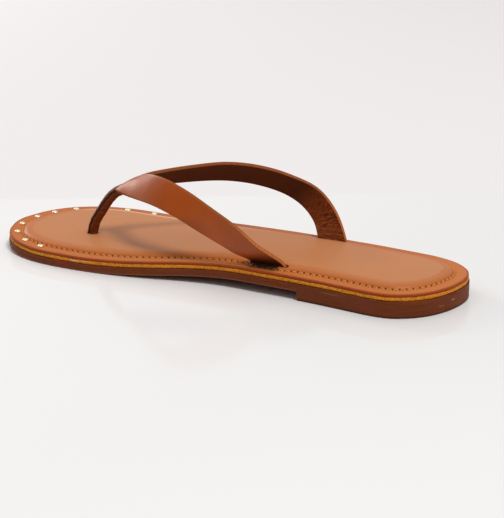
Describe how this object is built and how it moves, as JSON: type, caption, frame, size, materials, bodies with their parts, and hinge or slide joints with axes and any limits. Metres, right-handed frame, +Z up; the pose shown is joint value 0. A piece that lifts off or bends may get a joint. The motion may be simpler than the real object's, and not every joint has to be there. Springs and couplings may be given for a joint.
{
  "type": "toe post sandal",
  "caption": "Flat leather sandal with a V strap, a rolled toe post, a padded stitched footbed, a low moulded heel and domed studs round the toe.",
  "frame": {"origin": "middle of the base of the object's box, on the floor that the sole stands on", "axes": "+X from heel to toe, +Y to the inner side of the foot, +Z up from the floor"},
  "size_m": [0.261, 0.0888, 0.0525],
  "materials": {
    "outsole_rubber": "matt, with fine streaks along the side",
    "board_edge": "raw fibrous cut edge",
    "footbed_leather": "smooth tan leather, soft satin",
    "strap_leather": "polished brown leather, suede side inwards",
    "post_leather": "rolled brown leather",
    "stud_metal": "pale gold, polished"
  },
  "bodies": {
    "root": {"outsole": "outsole_rubber", "midsole": "board_edge", "footbed": "footbed_leather", "thong_straps": "strap_leather", "toe_post": "post_leather", "stud_01": "stud_metal", "stud_02": "stud_metal", "stud_03": "stud_metal", "stud_04": "stud_metal", "stud_05": "stud_metal", "stud_06": "stud_metal", "stud_07": "stud_metal", "stud_08": "stud_metal", "stud_09": "stud_metal", "stud_10": "stud_metal"}
  },
  "joints": []
}
